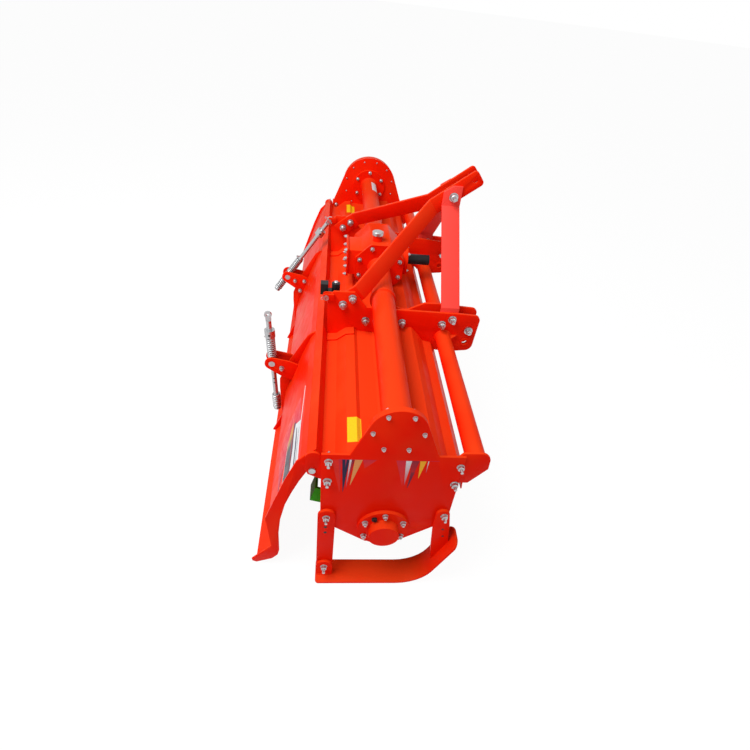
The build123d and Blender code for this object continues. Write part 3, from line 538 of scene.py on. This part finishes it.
for side, (eye, down, reach) in STRUTS.items():
    body = "strut_" + side
    start = eye + down * (reach - TRUNNION_R - SPRING_L) * MM
    upper = spring(f"upper_spring_{side}", body, start, down, SPRING_L, 10.0, 3.4,
                   f"strut_spring_{side}")
    low_start = eye + down * (ROD_L - LOW_SPRING_L) * MM
    lower = spring(f"lower_spring_{side}", body, low_start, down, LOW_SPRING_L, 7.0, 3.8,
                   f"strut_low_spring_{side}")
    if side == "left":
        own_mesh(upper)
        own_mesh(lower)
    print(side, "springs:", len(upper.data.polygons), "and", len(lower.data.polygons), "faces")

# %% [markdown]
# The stripes and labels are thin printed films. A film is a set of ribbons, and a ribbon is a list
# of rows, each with two points and the ink at each point, so an ink can fade into the paint. Every
# ribbon becomes a closed slab a tenth of a millimetre thick; the layers keep two films apart. The
# labels and the white wedge are left blank.

# %% Printed films
INK = {"white": (0.70, 0.70, 0.72), "violet": (0.016, 0.006, 0.045),
       "magenta": (0.62, 0.012, 0.060), "maroon": (0.26, 0.004, 0.022),
       "peach": (0.80, 0.30, 0.09), "gold": (0.62, 0.30, 0.05), "yellow": (0.90, 0.40, 0.01),
       "grey": (0.055, 0.055, 0.075), "label": (0.86, 0.55, 0.01), "rose": (0.66, 0.010, 0.030),
       "red": (0.84, 0.010, 0.0008)}
FILM_T = 0.1


def film_paint():
    material, tree = blank_material("printed_film")
    inks = node(tree, "ShaderNodeVertexColor", {"layer_name": "ink"})
    worn = ranged(tree, object_noise(tree, 160.0, 5.0), 0.3, 0.8, 1.0, 0.86)
    shade = node(tree, "ShaderNodeMix", {"data_type": "RGBA", "blend_type": "MULTIPLY"}, i0=1.0)
    tree.links.new(inks.outputs["Color"], shade.inputs[6])
    tree.links.new(worn, shade.inputs[7])
    paint = node(tree, "ShaderNodeBsdfPrincipled", Base_Color=shade.outputs[2],
                 Specular_IOR_Level=0.15,
                 Roughness=ranged(tree, object_noise(tree, 40.0), 0.3, 0.7, 0.3, 0.5))
    node(tree, "ShaderNodeOutputMaterial", Surface=paint.outputs[0])
    return material


FILM = film_paint()


def film(name, body, place, ribbons):
    """Ribbons of (layer, rows); a row is (u, v, ink, u, v, ink), and place lifts (u, v)."""
    corners, faces, inks = [], [], []
    for layer, rows in ribbons:
        start, base = len(corners), 0.02 + layer * FILM_T * 1.2
        for u, v, ink, u2, v2, ink2 in rows:
            for height in (base, base + FILM_T):
                corners += [place(u, v, height), place(u2, v2, height)]
                inks += [*INK[ink], 1.0, *INK[ink2], 1.0]
        for i in range(start, len(corners) - 4, 4):
            for a, b in ((0, 1), (1, 3), (3, 2), (2, 0)):
                faces.append((i + a, i + b, i + 4 + b, i + 4 + a))
        end = len(corners) - 4
        faces += [(start, start + 1, start + 3, start + 2), (end, end + 1, end + 3, end + 2)]
    mesh = bpy.data.meshes.new(name)
    mesh.from_pydata(corners, [], faces)
    mesh.color_attributes.new("ink", "FLOAT_COLOR", "POINT").data.foreach_set("color", inks)
    shape = bmesh.new()
    shape.from_mesh(mesh)
    bmesh.ops.recalc_face_normals(shape, faces=shape.faces)
    shape.to_mesh(mesh)
    mesh.materials.append(FILM)
    piece = bpy.data.objects.new(name, mesh)
    bpy.context.scene.collection.objects.link(piece)
    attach(piece, body)
    print(name, "has", len(ribbons), "ribbons")


def wedge(layer, top, left, right, tip_y, tip_z, ink, tip_ink):
    """A stripe that hangs from a level edge and runs out to a point."""
    return layer, [(left, top, ink, right, top, ink),
                   (tip_y - 0.6, tip_z, tip_ink, tip_y + 0.6, tip_z, tip_ink)]


EDGE_Z = 321.5
stripes = [
    wedge(0, EDGE_Z, -178, -149, -149, 175, "red", "red"),
    wedge(1, EDGE_Z, -158, -149, -150, 195, "rose", "red"),
    wedge(2, EDGE_Z, -148, -127.5, -139.5, 176, "violet", "violet"),
    wedge(3, EDGE_Z, -139, -135, -138, 285, "magenta", "violet"),
    wedge(3, EDGE_Z, -127, -121, -131, 195, "white", "magenta"),
    wedge(2, EDGE_Z, -121, -113, -126, 220, "maroon", "red"),
    wedge(3, EDGE_Z, -112, -90, -119.5, 208, "peach", "peach"),
    wedge(1, EDGE_Z, -89, -50, -82, 285, "rose", "red"),
    wedge(1, EDGE_Z, 6, 34, 37, 205, "rose", "red"),
    wedge(3, EDGE_Z, 34, 51, 42, 212, "white", "magenta"),
    wedge(2, EDGE_Z, 51, 73, 54, 205, "maroon", "red"),
    wedge(3, 272, 55, 66, 53, 200, "maroon", "violet"),
    wedge(3, EDGE_Z, 75, 93, 80, 246, "yellow", "yellow"),
    wedge(3, EDGE_Z, 98, 101, 99, 271, "white", "magenta"),
    (1, [(-155, EDGE_Z + 0.2, "magenta", -155, EDGE_Z + 1.5, "magenta"),
         (-45, EDGE_Z + 0.2, "red", -45, EDGE_Z + 1.5, "red")]),
    (1, [(5, EDGE_Z + 0.2, "red", 5, EDGE_Z + 1.5, "red"),
         (131, EDGE_Z + 0.2, "magenta", 131, EDGE_Z + 1.5, "magenta")])]
film("plate_stripes", "frame", lambda y, z, h: at(PLATE_OUT + h, y, z), stripes)

FOLD = (-304, 192)
UP_PANEL, DOWN_PANEL = (36 / 95.1, 88 / 95.1), (-66 / 202.1, -191 / 202.1)


def on_board(x, t, h):
    """A point of the trailing board: t runs down its face from the fold, h stands off it."""
    run = (-UP_PANEL[0], -UP_PANEL[1]) if t < 0 else DOWN_PANEL
    return at(x, FOLD[0] + t * run[0] + h * run[1], FOLD[1] + t * run[1] - h * run[0])


band = [
    (0, [(650, -46, "red", 783, -66, "magenta"), (657, -20, "red", 770, -20, "magenta"),
         (663, -1, "red", 760, -1, "magenta")]),
    (0, [(663, 1, "red", 760, 1, "magenta"), (687, 103, "red", 850, 70, "magenta"),
         (707, 134, "red", 900, 95, "magenta"), (768, 151, "red", 950, 110, "magenta")]),
    (2, [(630, -87, "white", 630, -82, "white"), (800, -75, "white", 800, -69, "white")]),
    (1, [(747, -26, "magenta", 757, -26, "magenta"), (745, -8, "violet", 752, -22, "violet"),
         (796, -3, "violet", 796, -14, "violet"), (867, -3, "violet", 867, -14, "violet"),
         (955, -1, "violet", 955, -6, "violet")]),
    (2, [(783, -72, "white", 759, -21, "white"), (800, -74, "white", 796, -14, "white"),
         (867, -75, "white", 867, -15, "white"), (941, -76, "white", 941, -7, "white"),
         (970, -77, "white", 958, -4, "white")]),
    (3, [(790, -40, "violet", 788, -34, "violet"), (867, -47, "violet", 867, -37, "violet"),
         (964, -45, "violet", 962, -36, "violet")]),
    (1, [(722, 1, "gold", 730, 1, "gold"), (740, 1, "gold", 752, 26, "gold"),
         (770, 1, "gold", 790, 50, "gold"), (815, 1, "grey", 840, 55, "grey"),
         (955, 1, "grey", 945, 62, "grey")]),
    (2, [(797, 50, "white", 797, 52, "white"), (945, 64, "white", 945, 68, "white")]),
    (1, [(946, 70, "peach", 952, 70, "peach"), (934, 92, "peach", 962, 88, "gold"),
         (950, 114, "peach", 966, 112, "gold")]),
    (1, [(860, 73, "violet", 860, 75, "violet"), (936, 108, "violet", 936, 114, "violet")]),
    (3, [(804, -60, "violet", 804, -58, "violet"), (955, -57, "violet", 955, -54, "violet")])]
film("board_band", "trailing_board", on_board, band)

HOOD_RIDGE = [(-168, 305), (-135, 332), (-105, 336), (-93, 326), (-35, 321)]


def on_hood(x, y, h):
    """A point of the hood's rear ridge."""
    for (y0, z0), (y1, z1) in zip(HOOD_RIDGE, HOOD_RIDGE[1:]):
        if y <= y1:
            break
    return at(x, y, z0 + (z1 - z0) * (y - y0) / (y1 - y0) + h)


def label(x_low, x_high, stops):
    return [(0, [(x_low, stop, "label", x_high, stop, "label") for stop in stops])]


film("label_near", "frame", on_hood, label(842, 944, (-134, -105, -93, -91)))
film("label_far", "frame", on_hood, label(-930, -812, (-125, -105, -93, -80)))


def on_tube(x, lean, h):
    """A point of the cross tube, turned forward from its top by an angle in degrees."""
    reach = 44.45 + h
    return at(x, reach * sin(radians(lean)), TUBE_UP + reach * cos(radians(lean)))


patch = [(0, [(-930, 10 + 5 * i, "white", -800, 10 + 5 * i, "white") for i in range(9)])]
film("tube_label", "frame", on_tube, patch)

# %% [markdown]
# Washers, plugs, caps and weld fillets are all round, so each is turned: a profile of distances
# along an axis and radii is swept round it. A profile that starts off the axis closes on itself
# and makes a ring, which is how the weld beads are drawn.

# %% Turned parts
FINISH_OF = {"red_paint": RED, "zinc": ZINC, "black_plastic": BLACK}


def kept(name, body, slot, mesh):
    """A finished mesh as a piece of a body, smooth except at its sharp edges."""
    mesh.shade_smooth()
    mesh.set_sharp_from_angle(angle=radians(32))
    mesh.materials.clear()
    mesh.materials.append(FINISH_OF[slot])
    piece = bpy.data.objects.new(name, mesh)
    bpy.context.scene.collection.objects.link(piece)
    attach(piece, body)
    print(name, "has", len(mesh.polygons), "faces")
    return piece


def turned(name, body, slot, parts, sides=24):
    """Each part is its centre, its axis and its profile in millimetres."""
    shape = bmesh.new()
    angles = [2 * pi * i / sides for i in range(sides)]
    for centre, axis, profile in parts:
        turn = Vector((0, 0, 1)).rotation_difference(Vector(axis)).to_matrix().to_4x4()
        place = Matrix.Translation(centre) @ turn
        rows = [[shape.verts.new(place @ Vector((r * MM * cos(a), r * MM * sin(a), along * MM)))
                 for a in angles] for along, r in profile]
        following = rows[1:] + (rows[:1] if profile[0][1] > 0 else [])
        for row, after in zip(rows, following):
            for i in range(sides):
                j = (i + 1) % sides
                shape.faces.new((row[i], row[j], after[j], after[i]))
    bmesh.ops.remove_doubles(shape, verts=shape.verts, dist=1e-6)
    bmesh.ops.recalc_face_normals(shape, faces=shape.faces)
    mesh = bpy.data.meshes.new(name)
    shape.to_mesh(mesh)
    return kept(name, body, slot, mesh)


def bead(x, y, z, facing, radius, size):
    """A weld fillet round a pipe where it meets a plate."""
    profile = [(0, radius), (0, radius + size), (size * 0.4, radius + size * 0.7), (size, radius)]
    return at(x, y, z), facing, profile


def button(radius, height, edge=1.5):
    return [(0, 0), (0, radius), (height - edge, radius), (height, radius - edge), (height, 0)]


def collar(bore, radius, height):
    return [(0, bore), (0, radius), (height, radius), (height, bore)]


UP, REAR, FORWARD = (0, 0, 1), (0, -1, 0), (0, 1, 0)
BUSH, HEAD = collar(11.3, 17, 3), button(10.5, 6)
# The two hole profiles are thin black discs on the legs: painted shade for the dark inside of drilled holes, in
# the black plastic finish.
HOLE_SHADE, SMALL_HOLE_SHADE = button(5.5, 0.4, 0.2), button(4, 0.4, 0.2)
HINGE_HEAD_X, HINGE = 992, (-232, 262)
REAR_HOLES, FRONT_HOLES = [(-186, 33), (-186, 5), (-186, -25)], [(198, -3), (205, -42)]
welds, bushes, heads, holes = [], [], [], []
for side in (1, -1):
    out, back = (side, 0, 0), (-side, 0, 0)
    for x, facing in ((BRACKET_OUT, out), (BRACKET_IN, back), (INNER_OUT, out), (INNER_IN, back)):
        welds.append(bead(side * x, *PIPE_AT, facing, PIPE_R, 5))
    for x, facing, size in ((INNER_OUT, out, 4), (INNER_IN, back, 4), (FLANGE_IN, back, 6)):
        welds.append(bead(side * x, 0, TUBE_UP, facing, TUBE_R, size))
    for x, facing in ((BRACKET_OUT, out), (INNER_IN, back), (BRACKET_IN, back)):
        bushes.append((at(side * x, *LOW_HOLE), facing, BUSH))
    heads.append((at(side * HINGE_HEAD_X, *HINGE), out, HEAD))
    holes += [(at(side * LEG_OUT, y, z), out, HOLE_SHADE) for y, z in REAR_HOLES]
    holes += [(at(side * LEG_OUT, y, z), out, SMALL_HOLE_SHADE) for y, z in FRONT_HOLES]
for x, facing in ((BOX_RIGHT, OUT), (BOX_LEFT, IN)):
    welds.append(bead(x, 0, TUBE_UP, facing, TUBE_R, 6))
turned("weld_beads", "frame", "red_paint", welds, 36)
turned("hitch_bushes", "frame", "red_paint", bushes)
turned("hinge_heads", "trailing_board", "zinc", heads)
PLUG = [(0, 0), (0, 9), (6, 9), (7.5, 7.5), (7.5, 4), (3, 4), (3, 0)]
holes.append((at(HUB_OUT, -33, 55), OUT, PLUG))
# The plug is a real black plug. The other discs of this piece are painted shade for holes.
turned("plug_and_holes", "frame", "black_plastic", holes)
turned("holder_bolt", "frame", "zinc", [(at(315.5, -180, 500), UP, button(8, 7, 2))])
CAP_RIM = [(0, 0), (0, 21), (1.2, 19.5), (0.6, 14), (0.6, 0)]
turned("cap_rim", "frame", "zinc", [(at(-6, -14, 570), UP, CAP_RIM)], 36)

# %% [markdown]
# A small triangular gusset stands on the front of the pipe, against the outer plate of each
# bracket.

# %% Gussets
GUSSET = [(BRACKET_OUT, 266), (BRACKET_OUT, 301), (BRACKET_OUT + 30, 267)]
GUSSET_Z = (323.5, 328.5)
shape = bmesh.new()
for side in (1, -1):
    low, high = [[shape.verts.new(at(side * x, y, z)) for x, y in GUSSET] for z in GUSSET_Z]
    shape.faces.new(low)
    shape.faces.new(high)
    for i in range(3):
        shape.faces.new((low[i - 1], low[i], high[i], high[i - 1]))
bmesh.ops.recalc_face_normals(shape, faces=shape.faces)
gussets = bpy.data.meshes.new("pipe_gussets")
shape.to_mesh(gussets)
kept("pipe_gussets", "frame", "red_paint", gussets)

# %% [markdown]
# The bolts that are not on the long plates: the gearbox covers, the clevises of the board, and the
# two bolts that hold every tine to its flange. The flanges stand at an even pitch and each is
# turned a sixteenth of a turn from its neighbour, so the tine bolts follow from those two numbers.

# %% Bolts of the gearbox, the board and the rotor
REAR_COVER_Y, REAR_COLUMNS, REAR_ROWS = -138, (33, -100), (500, 464, 428, 392)
NOSE_X, NOSE_Y, NOSE_BOLT = -65, 126, (-38, 38)
box_bolts = [(x, REAR_COVER_Y, z, REAR, 8, 0) for x in REAR_COLUMNS for z in REAR_ROWS]
box_bolts += [(NOSE_X + dx, NOSE_Y, TUBE_UP + dz, FORWARD, 8, 0)
              for dx in NOSE_BOLT for dz in NOSE_BOLT]
bolted("gearbox_bolts", "frame", box_bolts)

CLEVIS_BOLTS = [(-380, 146), (-334, 146), (-356, 92)]
board_bolts = []
for side in (1, -1):
    out, back = (side, 0, 0), (-side, 0, 0)
    for y, z in CLEVIS_BOLTS:
        board_bolts.append((side * CLEVIS_IN, y, z, back, 10, 0))
        if side < 0 or (y, z) == CLEVIS_BOLTS[0]:
            board_bolts.append((side * CLEVIS_OUT, y, z, out, 10, 2))
bolted("board_bolts", "trailing_board", board_bolts)

FLANGES, FLANGE_PITCH, TINES, TWIST, END_TURN = 8, 268, 6, 22.5, 75
TINE_BOLT_UP, TINE_BOLT_LEAD, TINE_FACE, FLANGE_FACE = 78, 13, 14, 6
tine_bolts = []
for index in range(FLANGES):
    x = FLANGE_PITCH * (index - (FLANGES - 1) / 2)
    spokes = [(360 / TINES * i + TWIST * index, 1 if i % 2 else -1) for i in range(TINES)]
    if index in (0, FLANGES - 1):
        spokes = [(turn, 1 if index == 0 else -1) for turn in (END_TURN, END_TURN + 180)]
    for turn, hand in spokes:
        c, s = cos(radians(turn)), sin(radians(turn))
        for lead in (-TINE_BOLT_LEAD, TINE_BOLT_LEAD):
            y, z = lead * c - TINE_BOLT_UP * s, lead * s + TINE_BOLT_UP * c
            tine_bolts.append((x + hand * TINE_FACE, y, z, (hand, 0, 0), 12, 0))
            tine_bolts.append((x - hand * FLANGE_FACE, y, z, (-hand, 0, 0), 12, 3))
bolted("tine_bolts", "rotor", tine_bolts)

# %% [markdown]
# Each strut has a drilled collar, a set screw on its spring stop, and, on the loose strut, two
# spare holes in the rod. Spring clips are bent wire: a straight leg goes through the pin and the
# curved leg snaps round it.

# %% Strut details and clips
COLLAR_HOLE, COLLAR_SIDE, ROD_SIDE, SPARE_HOLES, STOP_T = 82, 19.8, 9.8, (90, 112), 5
for side, (eye, down, reach) in STRUTS.items():
    body, rear = "strut_" + side, Vector((0, down.z, -down.y))
    drill = eye + down * COLLAR_HOLE * MM + Vector((COLLAR_SIDE, 0, 0)) * MM
    # The collar hole and the spare rod holes are thin black discs: painted shade for the dark inside of the holes.
    spots = [(drill, OUT, button(4.5, 0.5, 0.2))]
    if side == "right":
        for beyond in SPARE_HOLES:
            drill = eye + down * (reach + beyond) * MM + Vector((ROD_SIDE, 0, 0)) * MM
            spots.append((drill, OUT, button(3.5, 0.5, 0.2)))
    turned(f"strut_holes_{side}", body, "black_plastic", spots, 16)
    stop = eye + down * (reach - TRUNNION_R - SPRING_L - STOP_T / 2) * MM
    screw = (stop + rear * 15 * MM, rear, button(4, 8, 1))
    turned(f"strut_screws_{side}", body, "zinc", [screw], 12)

TRUNNION, WASHER = (-418, 164), collar(8.1, 12.5, 2)
washers = [(at(side * CLEVIS_OUT, *TRUNNION), (side, 0, 0), WASHER) for side in (1, -1)]
washers += [(at(side * CLEVIS_IN, *TRUNNION), (-side, 0, 0), WASHER) for side in (1, -1)]
turned("trunnion_washers", "trailing_board", "zinc", washers)

CLIP = [(-26, 0), (46, 0), (54, 2), (59, 8), (57, 14), (50, 16), (30, 9), (16, 9), (8, 13),
        (-4, 14), (-12, 9), (-19, 5), (-27, 8)]


def wires(name, body, slot, paths, radius):
    """Round wire along each path of points."""
    curve = bpy.data.curves.new(name, "CURVE")
    curve.dimensions, curve.bevel_depth, curve.bevel_resolution = "3D", radius * MM, 2
    curve.use_fill_caps = True
    for path in paths:
        spline = curve.splines.new("POLY")
        spline.points.add(len(path) - 1)
        for point, place in zip(spline.points, path):
            point.co = (*place, 1)
    return kept(name, body, slot, finished(bpy.data.objects.new(name + "_curve", curve)))


def clip(x, y, z, lean, size):
    """A spring clip in the plane across a pin; its closed end leans back from upright."""
    c, s = size * cos(radians(lean)), size * sin(radians(lean))
    return [at(x, y - u * s - v * c, z + u * c - v * s) for u, v in CLIP]


clips = [clip(341, *HOOD_PIN, 135, 0.5), clip(-341, *HOOD_PIN, 44, 0.5)]
clips += [clip(side * 285, *HITCH_PIN, -90, 0.55) for side in (1, -1)]
wires("spring_clips", "frame", "zinc", clips, 1.4)
SEAM = (-208, -196, -184, -172, -162)
seams = [[at(side * 1021, y, -269) for y in SEAM] for side in (1, -1)]
wires("skid_welds", "frame", "red_paint", seams, 2.6)

# %% [markdown]
# Sheared and flame-cut plates never have knife edges: the cut is ground and the paint rounds it
# further. The plates of the frame and of the board are copied, cleaned and given a small bevel.
# The gearbox is a casting, so its bevel is larger.

# %% Rounded plate edges
PLATES = {"end_plate_right": 1, "end_plate_left": 1, "gearbox_housing": 3, "gearbox_rear_cover": 2}
for kind in ("bracket", "hitch_inner_plate", "mast_bar", "mast_strap", "skid", "skid_rear_leg",
             "skid_front_leg", "board_web", "board_rib", "strut_clevis", "hood_cheek"):
    PLATES.update({kind + "_right": 1, kind + "_left": 1})
BOARD_PLATES = ("board_web", "board_rib", "strut_clevis")


def rounded(name, width):
    """Replace a CAD plate by its copy with bevelled edges."""
    shape = bmesh.new()
    shape.from_mesh(nodes[name].data)
    shape.transform(nodes[name].matrix_world)
    bmesh.ops.remove_doubles(shape, verts=shape.verts, dist=1e-5)
    bmesh.ops.dissolve_limit(shape, angle_limit=radians(0.5), verts=shape.verts, edges=shape.edges)
    mesh = bpy.data.meshes.new(name + "_rounded")
    shape.to_mesh(mesh)
    source = bpy.data.objects.new(name + "_source", mesh)
    bevel = source.modifiers.new("edges", "BEVEL")
    bevel.width, bevel.segments = width * MM, 2
    bevel.limit_method, bevel.angle_limit = "ANGLE", radians(35)
    body = "trailing_board" if name.startswith(BOARD_PLATES) else "frame"
    piece = kept(name + "_rounded", body, "red_paint", finished(source))
    # The mast straps take the lighter red. It is painted light, and the paint itself is the same red as the rest.
    if name.startswith("mast_strap"):
        piece.data.materials[0] = PAINTED_LIGHT_RED
    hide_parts(name)


for name, width in PLATES.items():
    rounded(name, width)
